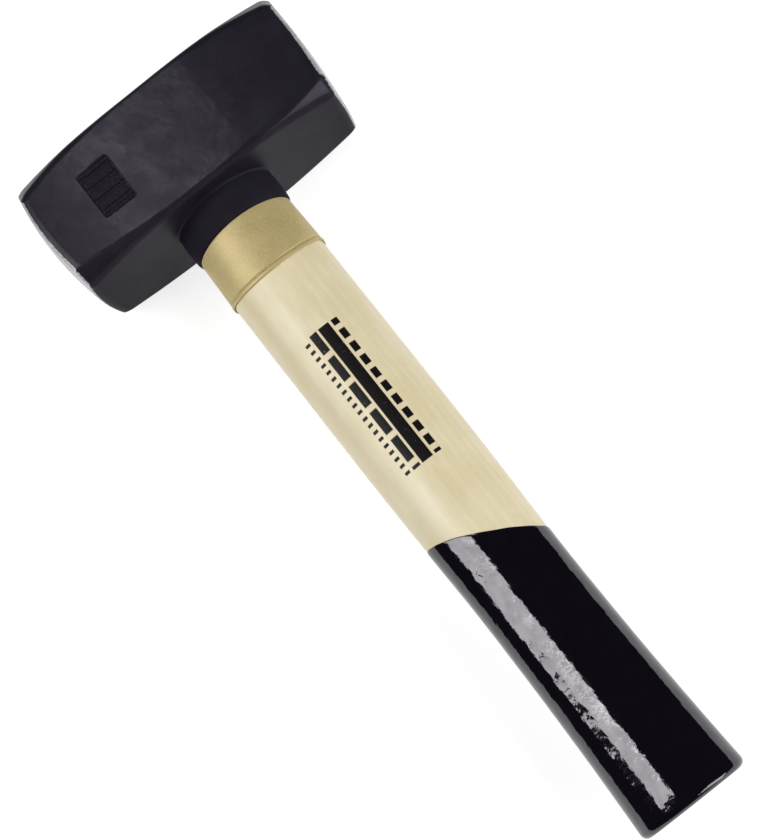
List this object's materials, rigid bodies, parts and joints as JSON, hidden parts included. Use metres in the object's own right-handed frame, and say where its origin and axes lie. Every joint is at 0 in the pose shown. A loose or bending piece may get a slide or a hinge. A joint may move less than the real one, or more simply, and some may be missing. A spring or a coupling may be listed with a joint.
{
  "type": "club hammer",
  "caption": "Club hammer with an octagonal-faced steel head wedged on a short oval wood handle, with a sheet-metal sleeve under the head and a dipped grip.",
  "frame": {"origin": "middle of the flat on the back cheek of the head, on which the hammer lies", "axes": "+Z out of the front cheek, X along the head from striking face to striking face, handle towards -Y"},
  "size_m": [0.095, 0.2614, 0.041],
  "materials": {
    "head_paint": "satin",
    "ash_wood": "satin",
    "wedge_wood": "matte",
    "bare_steel": "satin",
    "brass_sheet": "satin",
    "black_coat": "gloss"
  },
  "bodies": {
    "root": {"head": "head_paint", "handle": "ash_wood", "wood_wedge": "wedge_wood", "ring_wedge": "bare_steel", "sleeve": "brass_sheet", "grip_coat": "black_coat"}
  },
  "joints": []
}
